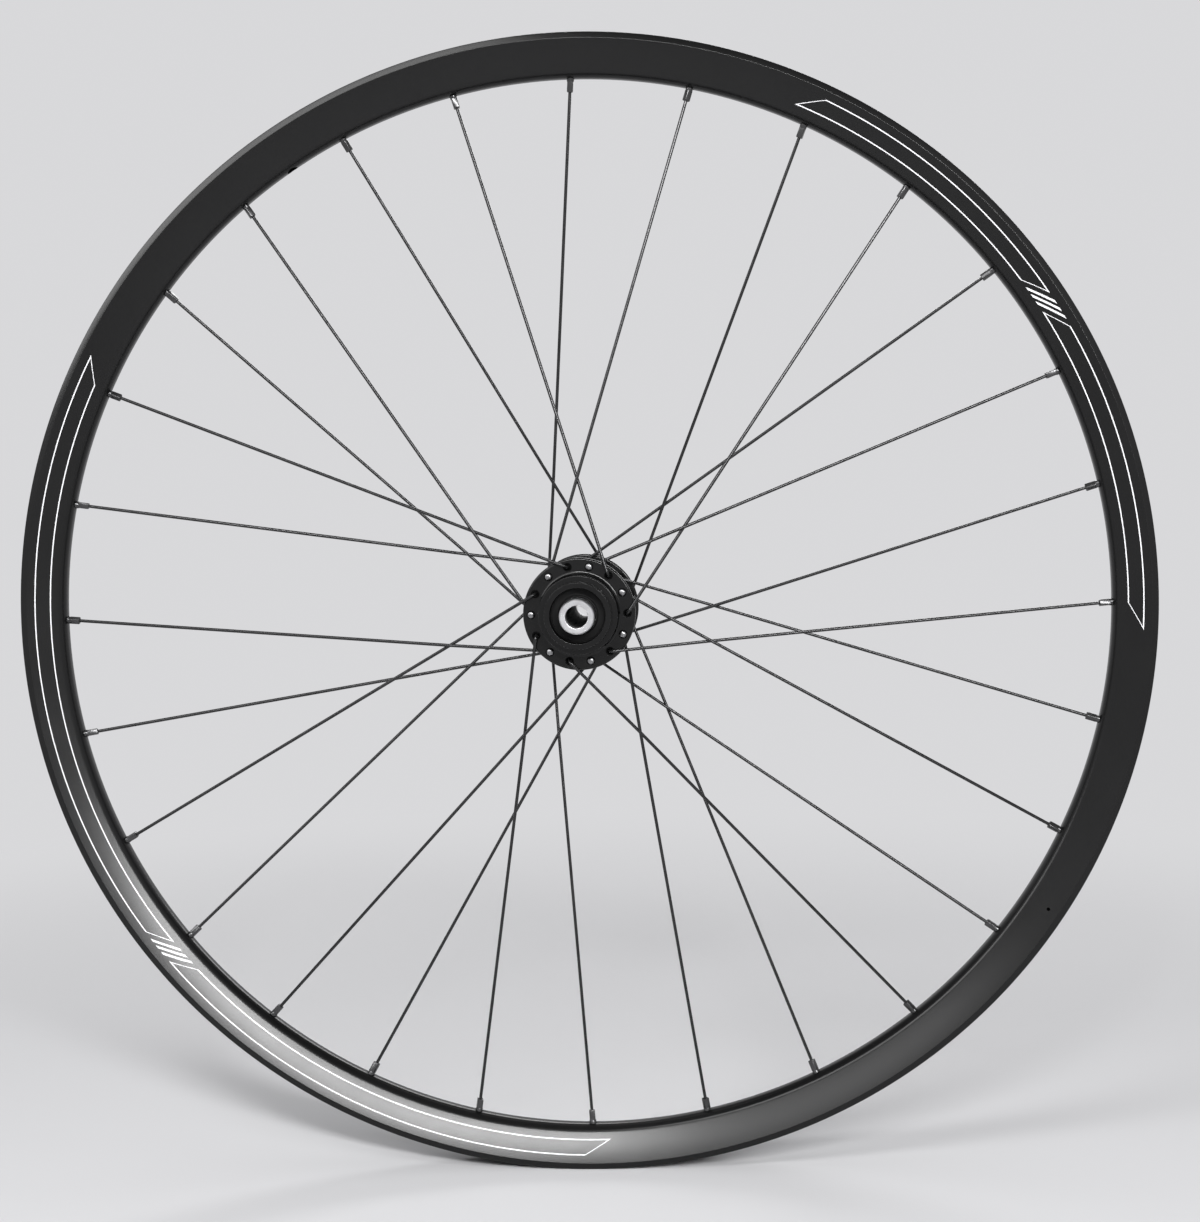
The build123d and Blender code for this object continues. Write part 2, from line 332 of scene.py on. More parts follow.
    @staticmethod
    def join(pieces: Sequence[bpy.types.Object], name: str) -> bpy.types.Object:
        """Joins pieces into one object of a name.

        Args:
            pieces: Pieces to join.
            name: Name of the whole.

        Returns:
            The first piece, with the others in it.
        """
        Bench.clear()
        for piece in pieces:
            piece.select_set(True)
        bpy.context.view_layer.objects.active = pieces[0]
        bpy.ops.object.join()
        pieces[0].name = name
        return pieces[0]

    @staticmethod
    def cut(piece: bpy.types.Object, cutter: bpy.types.Object) -> None:
        """Takes a cutter out of a piece and deletes the cutter.

        Args:
            piece: Piece to cut.
            cutter: Shape to take out of it.
        """
        Bench.clear()
        piece.select_set(True)
        bpy.context.view_layer.objects.active = piece
        bpy.ops.object.modifier_add(type="BOOLEAN")
        modifier = piece.modifiers[-1]
        modifier.operation = "DIFFERENCE"
        modifier.solver = "EXACT"
        modifier.object = cutter
        bpy.ops.object.modifier_apply(modifier=modifier.name)
        Bench.drop(cutter)
        Bench.edit(piece)
        bpy.ops.mesh.select_all(action="SELECT")
        bpy.ops.mesh.remove_doubles(threshold=SLIVER)
        bpy.ops.mesh.dissolve_degenerate(threshold=SLIVER)
        Bench.clear()

    @staticmethod
    def drop(piece: bpy.types.Object) -> None:
        """Deletes an object that is no longer needed.

        Args:
            piece: Object to delete.
        """
        Bench.clear()
        piece.select_set(True)
        bpy.ops.object.delete()


class Value:
    """Number socket of a material, whose sums add Math nodes."""

    def __init__(self, tree: "Tree", socket: bpy.types.NodeSocket) -> None:
        """Wraps a socket of a tree."""
        self.tree = tree
        self.socket = socket

    def __add__(self, other: Any) -> "Value":
        """Adds."""
        return self.tree.math("ADD", self, other)

    __radd__ = __add__

    def __mul__(self, other: Any) -> "Value":
        """Multiplies."""
        return self.tree.math("MULTIPLY", self, other)

    def __sub__(self, other: Any) -> "Value":
        """Subtracts."""
        return self.tree.math("SUBTRACT", self, other)

    def __rsub__(self, other: Any) -> "Value":
        """Subtracts this from another."""
        return self.tree.math("SUBTRACT", other, self)

    def __mod__(self, other: Any) -> "Value":
        """Gives the remainder, never below zero."""
        return self.tree.math("FLOORED_MODULO", self, other)

    def __gt__(self, other: Any) -> "Value":
        """Gives 1 where this is the greater."""
        return self.tree.math("GREATER_THAN", self, other)

    def __lt__(self, other: Any) -> "Value":
        """Gives 1 where this is the less."""
        return self.tree.math("LESS_THAN", self, other)

    def __abs__(self) -> "Value":
        """Drops the sign."""
        return self.tree.math("ABSOLUTE", self)

    def ramp(self, low: float, high: float) -> "Value":
        """Runs smoothly from 0 to 1.

        Args:
            low: Value that gives 0.
            high: Value that gives 1.

        Returns:
            The new value.
        """
        node = self.tree.node(
            "ShaderNodeMapRange",
            {"interpolation_type": "SMOOTHSTEP"},
            {"Value": self, "From Min": low, "From Max": high},
        )
        return Value(self.tree, node.outputs[0])


class Tree:
    """Node tree of one material, or of the world."""

    def __init__(self, owner: bpy.types.Material | bpy.types.World) -> None:
        """Starts the nodes of a material or world.

        Args:
            owner: Material or world that gets the nodes.
        """
        owner.use_nodes = True
        self.owner = owner
        self.nodes = owner.node_tree.nodes
        self.links = owner.node_tree.links

    def node(self, kind: str, settings: dict[str, Any], inputs: dict[Any, Any]) -> bpy.types.ShaderNode:
        """Adds a node.

        Args:
            kind: Type of the node.
            settings: Its settings, which are set first.
            inputs: Values or links of its sockets.

        Returns:
            The new node.
        """
        made = self.nodes.new(kind)
        for key, value in settings.items():
            setattr(made, key, value)
        for key, value in inputs.items():
            self.feed(made.inputs[key], value)
        return made

    def feed(self, socket: bpy.types.NodeSocket, value: Any) -> None:
        """Links or sets a socket.

        Args:
            socket: Socket to feed.
            value: Value or socket to link it to, or number or colour to set.
        """
        if isinstance(value, Value):
            value = value.socket
        if isinstance(value, bpy.types.NodeSocket):
            self.links.new(value, socket)
        else:
            socket.default_value = value

    def dress(self, **inputs: Any) -> bpy.types.Material:
        """Feeds the material's shader.

        Args:
            **inputs: What each socket gets, by its name with underscores for spaces.

        Returns:
            The material.
        """
        shader = self.nodes["Principled BSDF"]
        for key, value in inputs.items():
            self.feed(shader.inputs[key.replace("_", " ")], value)
        return self.owner

    def math(self, operation: str, *values: Any) -> Value:
        """Adds a Math node on values or numbers."""
        node = self.node("ShaderNodeMath", {"operation": operation}, dict(enumerate(values)))
        return Value(self, node.outputs[0])

    def place(self) -> tuple[Value, Value, Value, bpy.types.NodeSocket]:
        """Gives the surface's place on the wheel.

        Returns:
            Distance from the axle and place along it in millimetres, angle round it in degrees,
            and the socket of the whole coordinate.
        """
        whole = self.node("ShaderNodeTexCoord", {}, {}).outputs["Object"]
        split = self.node("ShaderNodeSeparateXYZ", {}, {0: whole}).outputs
        x, y, z = (Value(self, socket) for socket in split)
        radius = self.math("SQRT", x * x + z * z) * PER_METRE
        angle = self.math("ARCTAN2", x, z) * (180 / pi) % 360.0
        return radius, y * PER_METRE, angle, whole

    def noise(self, whole: bpy.types.NodeSocket, grain: float, detail: float = 2.0) -> Value:
        """Adds cloudy noise with patches of a size in millimetres."""
        inputs = {"Vector": whole, "Scale": PER_METRE / grain, "Detail": detail}
        return Value(self, self.node("ShaderNodeTexNoise", {}, inputs).outputs[0])

    def mix(self, share: Any, first: Any, second: Any) -> bpy.types.NodeSocket:
        """Mixes two colours by a share of the second."""
        inputs = {0: share, 6: first, 7: second}
        return self.node("ShaderNodeMix", {"data_type": "RGBA"}, inputs).outputs[2]

    def bump(self, height: Value, depth: float) -> bpy.types.NodeSocket:
        """Adds relief of a depth in millimetres from a height between 0 and 1."""
        inputs = {"Strength": 1.0, "Distance": depth * MM, "Height": height}
        return self.node("ShaderNodeBump", {}, inputs).outputs[0]


def grey(level: float, cool: float = 1.02) -> tuple[float, float, float, float]:
    """Gives a grey of a level, with a little more blue."""
    return (level, level, level * cool, 1.0)


class Finish:
    """Base of the finishes: a finish paints its material once."""

    name: str

    def material(self) -> bpy.types.Material:
        """Gives the finish's material."""
        return bpy.data.materials.get(self.name) or self.paint(Tree(bpy.data.materials.new(self.name)))

    def paint(self, tree: Tree) -> bpy.types.Material:
        """Paints the material's nodes."""
        raise NotImplementedError


@dataclass(frozen=True)
class Band:
    """Thin outline of a slanted bar along the rim's sidewall."""

    start: float
    end: float
    low: float = 301.4
    high: float = 309.4
    stroke: float = 0.55
    slant: float = 0.35
    end_stroke: float = 1.3
    solid_below: float = 1.0

    def fill(self, radius: Value, angle: Value, inset: float) -> Value:
        """Tells the inside of the bar, drawn in all round.

        Args:
            radius: Distance from the axle, in millimetres.
            angle: Degrees round the axle.
            inset: How far it is drawn in, in millimetres.

        Returns:
            1 inside and 0 outside.
        """
        turn = degrees(inset / self.low) * self.end_stroke
        lean = (radius - self.low) * self.slant
        across = (radius > self.low + inset) * (radius < self.high - inset)
        along = (angle - lean > self.start + turn) * (angle - lean < self.end - turn)
        return across * along

    def line(self, radius: Value, angle: Value) -> Value:
        """Tells the outline of the bar, or the whole of a bar too short for one.

        Args:
            radius: Distance from the axle, in millimetres.
            angle: Degrees round the axle.

        Returns:
            1 on the line and 0 elsewhere.
        """
        if self.end - self.start < self.solid_below:
            return self.fill(radius, angle, 0.0)
        return self.fill(radius, angle, 0.0) - self.fill(radius, angle, self.stroke)


@dataclass(frozen=True)
class SatinBlack(Finish):
    """Black anodised rim with a fine blasted grain and thin plain pinstripes."""

    name: str = "rim_satin_black"
    bands: tuple[Band, ...] = (
        Band(24.0, 54.0),
        Band(54.9, 55.3),
        Band(55.8, 56.2),
        Band(56.7, 57.1),
        Band(58.0, 90.0),
        Band(178.0, 228.0),
        Band(228.9, 229.3),
        Band(229.8, 230.2),
        Band(230.7, 231.1),
        Band(232.0, 296.0),
    )
    ridge_radius: float = SHARED.ridge_radius
    half_width: float = SHARED.half_width
    slope: float = SHARED.slope
    print_depth: float = 0.5
    smudge_size: float = 26.0
    smudge_detail: float = 3.0
    grain_size: float = 0.35
    dark: float = 0.003
    light: float = 0.006
    white: float = 0.82
    smudge_share: float = 0.6
    grain_share: float = 0.4
    gloss: float = 0.17
    smudge_gloss: float = 0.05
    grain_gloss: float = 0.04
    shine: float = 0.3
    relief: float = 0.003

    def paint(self, tree: Tree) -> bpy.types.Material:
        """Paints the rim's nodes.

        Args:
            tree: Tree of the new material.

        Returns:
            The material.
        """
        radius, y, angle, whole = tree.place()
        smudge = tree.noise(whole, self.smudge_size, self.smudge_detail)
        grain = tree.noise(whole, self.grain_size)
        skin = self.half_width - (self.ridge_radius - radius) * tan(radians(self.slope))
        stripes = self.bands[0].line(radius, angle)
        for band in self.bands[1:]:
            stripes = stripes + band.line(radius, angle)
        stripes = stripes * (abs(y) > skin - self.print_depth)
        patches = smudge * self.smudge_share + grain * self.grain_share
        black = tree.mix(patches, grey(self.dark), grey(self.light))
        return tree.dress(
            Base_Color=tree.mix(stripes, black, grey(self.white)),
            Roughness=self.gloss + smudge * self.smudge_gloss + grain * self.grain_gloss,
            Specular_IOR_Level=self.shine,
            Normal=tree.bump(grain, self.relief),
        )


@dataclass(frozen=True)
class TurnedFinish(Finish):
    """Turned alloy with rings of tool marks round the axle."""

    name: str
    dark: float
    light: float
    metal: float
    gloss: float
    pitch: float
    depth: float
    shine: float = 0.5
    cloud_size: float = 5.0
    cloud_detail: float = 3.0
    waver: float = 0.2
    cloud_share: float = 0.7
    mark_share: float = 0.3
    cloud_gloss: float = 0.1
    mark_gloss: float = 0.04

    def paint(self, tree: Tree) -> bpy.types.Material:
        """Paints the nodes of a turned surface.

        Args:
            tree: Tree of the new material.

        Returns:
            The material.
        """
        radius, y, _, whole = tree.place()
        cloud = tree.noise(whole, self.cloud_size, self.cloud_detail)
        path = radius + y + cloud * self.waver
        marks = tree.math("SINE", path * (2 * pi / self.pitch)) * 0.5 + 0.5
        patches = cloud * self.cloud_share + marks * self.mark_share
        return tree.dress(
            Base_Color=tree.mix(patches, grey(self.dark), grey(self.light)),
            Roughness=self.gloss + cloud * self.cloud_gloss + marks * self.mark_gloss,
            Metallic=self.metal,
            Specular_IOR_Level=self.shine,
            Normal=tree.bump(marks, self.depth),
        )


@dataclass(frozen=True)
class CoatedSteel(Finish):
    """Drawn steel under a thin coat, with faint patches."""

    name: str
    dark: float
    light: float
    metal: float
    gloss: float
    shine: float = 0.4
    patch_size: float = 12.0
    patch_detail: float = 1.0
    patch_gloss: float = 0.12

    def paint(self, tree: Tree) -> bpy.types.Material:
        """Paints the nodes of coated steel.

        Args:
            tree: Tree of the new material.

        Returns:
            The material.
        """
        whole = tree.place()[-1]
        patch = tree.noise(whole, self.patch_size, self.patch_detail)
        return tree.dress(
            Base_Color=tree.mix(patch, grey(self.dark), grey(self.light)),
            Roughness=self.gloss + patch * self.patch_gloss,
            Metallic=self.metal,
            Specular_IOR_Level=self.shine,
        )


@dataclass(frozen=True)
class MouldedRubber(Finish):
    """Dull black rubber with a fine moulded grain."""

    name: str = "seal_rubber"
    dark: float = 0.003
    light: float = 0.008
    gloss: float = 0.5
    shine: float = 0.15
    grain_size: float = 0.4
    grain_detail: float = 3.0
    grain_gloss: float = 0.2
    relief: float = 0.02

    def paint(self, tree: Tree) -> bpy.types.Material:
        """Paints the nodes of rubber.

        Args:
            tree: Tree of the new material.

        Returns:
            The material.
        """
        whole = tree.place()[-1]
        grain = tree.noise(whole, self.grain_size, self.grain_detail)
        return tree.dress(
            Base_Color=tree.mix(grain, grey(self.dark), grey(self.light)),
            Roughness=self.gloss + grain * self.grain_gloss,
            Specular_IOR_Level=self.shine,
            Normal=tree.bump(grain, self.relief),
        )


RIM_BLACK = SatinBlack()
HUB_BLACK = TurnedFinish(
    "hub_gloss_black", dark=0.002, light=0.005, metal=0.0, gloss=0.08, pitch=0.45, depth=0.001,
    shine=0.3,
)
CAP_SILVER = TurnedFinish(
    "cap_turned_silver", dark=0.5, light=0.66, metal=1.0, gloss=0.24, pitch=0.35, depth=0.006
)
# The axle tube is painted dark: painted shade for the shadowed inside of the hub's bore.
AXLE_PAINTED_SHADE = TurnedFinish(
    "axle_dark_alloy", dark=0.012, light=0.025, metal=0.1, gloss=0.7, pitch=0.5, depth=0.006
)
BEARING_STEEL = TurnedFinish(
    "bearing_ground_steel", dark=0.4, light=0.55, metal=1.0, gloss=0.18, pitch=0.25, depth=0.003
)
SPOKE_COAT = CoatedSteel("spoke_black_coat", dark=0.03, light=0.05, metal=0.85, gloss=0.17)
# Spoke heads are painted a lighter metal grey than the wire: a painted sheen for the shine of their domes.
SPOKE_HEAD_PAINTED_SHEEN = CoatedSteel("spoke_head_steel", dark=0.2, light=0.32, metal=1.0, gloss=0.24)
NIPPLE_COAT = CoatedSteel("nipple_black_coat", dark=0.05, light=0.09, metal=0.8, gloss=0.18)
SEAL_RUBBER = MouldedRubber()


def place_piece(piece: bpy.types.Object, body: str, nodes: Sequence[str]) -> None:
    """Joins a finished piece to the frame.

    Args:
        piece: Finished piece.
        body: Body that it moves with.
        nodes: Nodes that it stands for.
    """
    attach(piece, body)
    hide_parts(*nodes)
    LOG.info("%s stands for %s on %s", piece.name, ", ".join(nodes), body)


def paint_piece(piece: bpy.types.Object, finish: Finish) -> None:
    """Gives a piece one finish all over."""
    piece.data.materials.clear()
    piece.data.materials.append(finish.material())


@dataclass
class Rim:
    """Hollow hoop with two lips, a stepped tyre bed, sloped sides and a rounded nose.

    Sizes are in millimetres and turns in degrees, and valve_gap counts the gaps between spokes.
    """

    bead_radius: float = 311.0
    lip_radius: float = SHARED.lip_radius
    ridge_radius: float = SHARED.ridge_radius
    nose_radius: float = SHARED.nose_radius
    half_width: float = SHARED.half_width
    half_channel: float = 12.5
    lip_top: float = 1.2
    slope: float = SHARED.slope
    shoulder: float = 3.0
    half_nose: float = 3.8
    shelf: float = 4.5
    well_radius: float = 307.4
    half_well: float = 5.5
    bed_wall: float = 1.1
    side_wall: float = 1.2
    floor_wall: float = SHARED.floor_wall
    spoke_count: int = SHARED.spoke_count
    spoke_hole: float = 4.6
    access_hole: float = 8.6
    valve_hole: float = 6.5
    valve_gap: float = 25.5
    drain_hole: float = 1.9
    drain_angle: float = 123.5
    nose_round: float = 6.8
    ridge_round: float = 0.5
    lip_round: float = 0.45
    lip_inside_round: float = 0.4
    bead_round: float = 0.6
    shelf_round: float = 1.2
    well_round: float = 1.5
    hollow_round: float = 1.0
    corner_round: float = 0.6
    round_step: float = 9.0
    steps: int = 336
    small_sides: int = 16
    large_sides: int = 24
    past: float = 2.0
    clearance: float = 1.0
    smooth_angle: float = 28.0

    def skin_y(self, radius: float) -> float:
        """Gives the half width over the sidewalls at a radius."""
        return self.half_width - (self.ridge_radius - radius) * tan(radians(self.slope))

    def chamber_y(self, radius: float) -> float:
        """Gives the half width of the hollow at a radius."""
        return self.skin_y(radius) - self.side_wall / cos(radians(self.slope))

    def both_halves(self, half: Sequence[Corner]) -> list[Point]:
        """Mirrors the right half of an outline and rounds it."""
        other = ((radius, -y, size) for radius, y, size in reversed(half))
        return rounded([*half, *other], self.round_step)

    def build(self) -> bpy.types.Object:
        """Models the rim.

        Returns:
            The finished rim.
        """
        foot = self.nose_radius + self.shoulder
        skin = [
            (self.nose_radius, self.half_nose, self.nose_round),
            (foot, self.skin_y(foot), self.nose_round),
            (self.ridge_radius, self.half_width, self.ridge_round),
            (self.lip_radius, self.half_channel + self.lip_top, self.lip_round),
            (self.lip_radius, self.half_channel, self.lip_inside_round),
            (self.bead_radius, self.half_channel, self.bead_round),
            (self.bead_radius, self.half_channel - self.shelf, self.shelf_round),
            (self.well_radius, self.half_well, self.well_round),
        ]
        floor = self.nose_radius + self.floor_wall
        corner = self.bead_radius - self.bed_wall
        hollow = [
            (floor, self.chamber_y(floor), self.hollow_round),
            (corner, self.chamber_y(corner), self.corner_round),
            (self.well_radius - self.bed_wall, self.half_well, self.hollow_round),
        ]
        rim = Bench.turned("rim_hoop", self.both_halves(skin), self.steps)
        Bench.cut(rim, Bench.turned("rim_chamber", self.both_halves(hollow), self.steps))
        Bench.cut(rim, self.holes())
        Bench.smooth(rim, self.smooth_angle)
        return rim

    def holes(self) -> bpy.types.Object:
        """Models the cutters of every hole as one object.

        Returns:
            The joined cutters.
        """
        pitch = 360 / self.spoke_count
        angles = [index * pitch for index in range(self.spoke_count)]
        below = self.nose_radius - self.past
        middle = (self.nose_radius + self.well_radius) / 2
        above = self.lip_radius + self.past
        inner = self.radial_cutter(self.spoke_hole, below, middle, self.small_sides)
        spoke_holes = Bench.around(inner, angles)
        outer = self.radial_cutter(self.access_hole, middle + self.clearance, above, self.large_sides)
        access_holes = Bench.around(outer, angles)
        through = self.radial_cutter(self.valve_hole, below, above, self.large_sides)
        valve_hole = Bench.around(through, [self.valve_gap * pitch])
        return Bench.join([spoke_holes, access_holes, valve_hole, self.drain_cutter()], "rim_holes")

    def drain_cutter(self) -> bpy.types.Object:
        """Models the cutter of the drain hole through the left sidewall.

        Returns:
            The cutter.
        """
        radius = self.bead_radius - self.bed_wall - self.drain_hole
        mouth = on_wheel(radius, self.drain_angle, -self.half_width - self.clearance)
        depth = self.half_width + self.clearance - self.chamber_y(radius) + self.side_wall / 2
        rings = [(0, self.drain_hole / 2), (depth, self.drain_hole / 2)]
        cutter = Bench.rod("drain_cutter", mouth, Vector((0, 1, 0)), rings, self.small_sides)
        Bench.close(cutter)
        return cutter

    @staticmethod
    def radial_cutter(hole: float, start: float, end: float, sides: int) -> bpy.types.Object:
        """Models one round cutter between two radii at the top of the wheel.

        Args:
            hole: Diameter of the hole.
            start: Radius of the wheel where it starts.
            end: Radius of the wheel where it ends.
            sides: Sides of the cutter.

        Returns:
            The cutter.
        """
        rings = [(start, hole / 2), (end, hole / 2)]
        cutter = Bench.rod("hole_cutter", Vector(), Vector((0, 0, 1)), rings, sides)
        Bench.close(cutter)
        return cutter

    def dress(self, piece: bpy.types.Object) -> None:
        """Finishes the rim and joins it to the frame."""
        paint_piece(piece, RIM_BLACK)
        place_piece(piece, "wheel", ["rim"])


@dataclass
class Lacing:
    """Spokes with their heads and elbows, and the nipples that hold them in the rim.

    Sizes are in millimetres and turns in degrees. The rows of dome and neck are a height and a share of
    the head's or the wire's radius, and those of flare are a height and a radius.
    """

    count: int = SHARED.spoke_count
    group: int = 4
    crossings: int = 2
    aim_radius: float = SHARED.nose_radius + SHARED.floor_wall / 2
    circle_radius: float = SHARED.circle_radius
    left_flange: float = SHARED.left_flange
    right_flange: float = SHARED.right_flange
    flange_thickness: float = SHARED.flange_thickness
    wire: float = 1.8
    standoff: float = 1.6
    gap: float = 0.1
    bend: float = 2.1
    head: float = 3.9
    nipple: float = 4.0
    square: float = 3.3
    showing: float = 7.1
    floor_wall: float = SHARED.floor_wall
    wire_sides: int = 12
    seat_gap: float = 0.05
    elbow_steps: int = 7
    thread_run: float = 2.8
    head_edge: float = 0.1
    dome: tuple[Ring, ...] = (
        (-1.2, 0.3),
        (-1.1, 0.62),
        (-0.85, 0.86),
        (-0.5, 0.98),
        (-0.2, 1.0),
        (0.0, 0.96),
    )
    neck: tuple[Ring, ...] = ((0.25, 1.25), (0.6, 1.0))
    spoke_smooth: float = 40.0
    nipple_sides: int = 16
    collar: float = 1.2
    collar_taper: Ring = (0.55, 0.84)
    flare_start: float = 1.3
    flare: tuple[Ring, ...] = ((2.0, 2.7), (2.5, 3.0), (3.5, 3.0), (4.0, 2.5), (4.05, 0.9))
    square_round: float = 0.55
    square_segments: int = 3
    end_round: float = 0.4
    end_segments: int = 2
    facing: float = 0.9
    nipple_smooth: float = 35.0
    nipple_turn: float = 37.0

    def route(self, index: int) -> list[Vector]:
        """Gives the head's seat, elbow, crossing and rim hole of one spoke.

        Args:
            index: Number of the spoke, from zero at the top.

        Returns:
            The four points, in millimetres.
        """
        pitch = 360 / self.count
        turn = self.crossings * 2 * pitch
        side = Side.LEFT if index % 2 else Side.RIGHT
        flange = self.left_flange if side is Side.LEFT else self.right_flange
        lean = (Lie.OUTSIDE if index % self.group >= self.group / 2 else Lie.INSIDE).value
        half = self.flange_thickness / 2
        area = self.circle_radius * self.aim_radius * sin(radians(turn))
        reach = self.circle_radius * sin(radians(turn - pitch)) + self.aim_radius * sin(radians(pitch))
        cross_radius = area / reach
        hole = on_wheel(self.circle_radius, turn)
        whole = on_wheel(self.aim_radius, 0) - hole
        share = (on_wheel(cross_radius, pitch) - hole).length / whole.length
        cross_y = flange * (1 - share) - lean * (self.wire + self.gap) / 2
        elbow_y = flange + lean * (half + self.standoff + self.wire / 2)
        seat_y = flange - lean * (half + self.seat_gap)
        angle = index * pitch
        start = angle + lean * turn
        return [
            on_wheel(self.circle_radius, start, side.value * seat_y),
            on_wheel(self.circle_radius, start, side.value * elbow_y),
            on_wheel(cross_radius, angle + lean * pitch, side.value * cross_y),
            on_wheel(self.aim_radius, angle),
        ]

    def draw_spoke(self, index: int) -> bpy.types.Object:
        """Models one spoke from its domed head, round its elbow and out to the rim.

        Args:
            index: Number of the spoke, from zero at the top.

        Returns:
            The finished spoke.
        """
        head, elbow, crossing, hole = self.route(index)
        into = (elbow - head).normalized()
        along = (crossing - elbow).normalized()
        reach = self.bend * tan(into.angle(along) / 2)
        straight = (elbow - head).length - reach
        wire = self.wire / 2
        top = self.head / 2
        rings = [
            *((height, top * share) for height, share in self.dome),
            *((height, wire * share) for height, share in self.neck),
            (straight, wire),
        ]
        spoke = Bench.rod(f"spoke_wire_{index + 1:02d}", head, into, rings, self.wire_sides)
        Bench.elbow(into, along, head + into * straight, self.bend, self.elbow_steps)
        Bench.push(crossing - elbow - along * reach)
        Bench.push(hole + (hole - crossing).normalized() * self.thread_run - crossing)
        Bench.close(spoke)
        Bench.smooth(spoke, self.spoke_smooth)
        paint_piece(spoke, SPOKE_COAT)
        # The heads get the lighter grey of the painted sheen.
        spoke.data.materials.append(SPOKE_HEAD_PAINTED_SHEEN.material())

        def on_head(middle: Vector, _: Vector) -> bool:
            """Tells whether a face belongs to the head."""
            away = middle - head
            return away.length < self.head and away.dot(into) < self.head_edge

        Bench.pick(spoke, on_head)
        spoke.active_material_index = 1
        bpy.ops.object.material_slot_assign()
        Bench.clear()
        return spoke

    def draw_nipple(self) -> bpy.types.Object:
        """Models one nipple along +Z: flared head, round collar and square end.

        Returns:
            The nipple.
        """
        low = -self.floor_wall / 2
        round_size = self.nipple / 2
        taper, narrowing = self.collar_taper
        rings = [
            (low - self.collar - taper, round_size * narrowing),
            (low - self.collar, round_size),
            (self.flare_start, round_size),
            *self.flare,
        ]
        collar = Bench.rod("nipple_collar", Vector(), Vector((0, 0, 1)), rings, self.nipple_sides)
        Bench.close(collar)
        Bench.clear()
        length = self.showing - self.collar
        middle = low - self.showing + length / 2
        bpy.ops.mesh.primitive_cube_add(size=MM, location=(0, 0, middle * MM))
        square = bpy.context.active_object
        square.scale = (self.square, self.square, length)
        bpy.ops.object.transform_apply(location=True, rotation=True, scale=True)
        Bench.edit(square)
        bpy.ops.mesh.select_mode(type="EDGE")
        for edge in bmesh.from_edit_mesh(square.data).edges:
            edge.select_set(abs(edge.verts[0].co.z - edge.verts[1].co.z) > MM)
        bpy.ops.mesh.bevel(offset=self.square_round * MM, segments=self.square_segments, affect="EDGES")
        Bench.pick(square, lambda _, normal: normal.z < -self.facing)
        bpy.ops.mesh.bevel(offset=self.end_round * MM, segments=self.end_segments, affect="EDGES")
        Bench.clear()
        nipple = Bench.join([collar, square], "nipple")
        Bench.smooth(nipple, self.nipple_smooth)
        return nipple

    def build(self) -> list[bpy.types.Object]:
        """Models one group of spokes and copies it round the wheel.

        Returns:
            The spokes in order, and last the set of nipples.
        """
        spokes: dict[int, bpy.types.Object] = {}
        for first in range(self.group):
            spokes[first] = self.draw_spoke(first)
            for index in range(first + self.group, self.count, self.group):
                turn = Matrix.Rotation((index - first) * 2 * pi / self.count, 4, "Y")
                spokes[index] = Bench.copy(spokes[first], f"spoke_wire_{index + 1:02d}", turn)
        pattern = self.draw_nipple()
        nipples = [self.set_nipple(pattern, index) for index in range(self.count)]
        Bench.drop(pattern)
        nipple_set = Bench.join(nipples, "nipple_set")
        return [*(spokes[index] for index in range(self.count)), nipple_set]

    def set_nipple(self, pattern: bpy.types.Object, index: int) -> bpy.types.Object:
        """Copies the nipple to one rim hole, in line with its spoke and turned from the last.

        Args:
            pattern: Nipple to copy.
            index: Number of the spoke, from zero at the top.

        Returns:
            The copy.
        """
        crossing, hole = self.route(index)[2:]
        lean = Vector((0, 0, 1)).rotation_difference(hole - crossing).to_matrix().to_4x4()
        turn = Matrix.Rotation(radians(self.nipple_turn * index), 4, "Z")
        place = Matrix.Translation(hole * MM) @ lean @ turn
        return Bench.copy(pattern, f"nipple_{index + 1:02d}", place)

    def dress(self, pieces: Sequence[bpy.types.Object]) -> None:
        """Finishes the nipples and joins every piece to the frame.

        Args:
            pieces: The spokes in order, and last the set of nipples.
        """
        for index, spoke in enumerate(pieces[:-1]):
            place_piece(spoke, "wheel", [f"spoke_{index + 1:02d}"])
        paint_piece(pieces[-1], NIPPLE_COAT)
        place_piece(pieces[-1], "wheel", ["spoke_nipples"])


